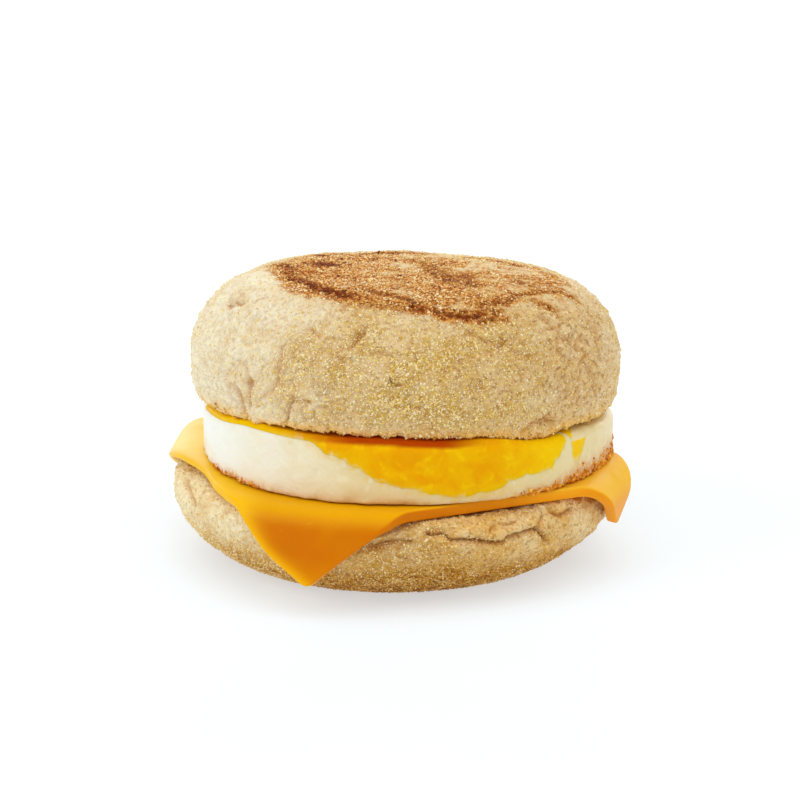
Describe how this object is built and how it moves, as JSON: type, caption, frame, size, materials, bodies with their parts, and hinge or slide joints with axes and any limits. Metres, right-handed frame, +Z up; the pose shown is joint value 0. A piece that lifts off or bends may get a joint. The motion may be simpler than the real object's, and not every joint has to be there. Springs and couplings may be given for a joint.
{
  "type": "breakfast sandwich",
  "caption": "Split griddled muffin round a ring-cooked egg with broken yolk and a folded slice of cheese, its top half tilted back to show the filling.",
  "frame": {"origin": "middle of the flat base of the muffin's lower half", "axes": "+Z up through the layers, -Y towards the front where the sandwich opens, +X to the right of that view"},
  "size_m": [0.1069, 0.1094, 0.0665],
  "materials": {
    "muffin_crust": "dry toasted crust dusted with cornmeal",
    "cheese": "soft satin",
    "egg_white": "moist satin",
    "egg_yolk": "set, moist satin"
  },
  "bodies": {
    "root": {"muffin_heel": "muffin_crust", "cheese_slice": "cheese", "egg_white": "egg_white", "egg_yolk": "egg_yolk", "muffin_crown": "muffin_crust"}
  },
  "joints": []
}
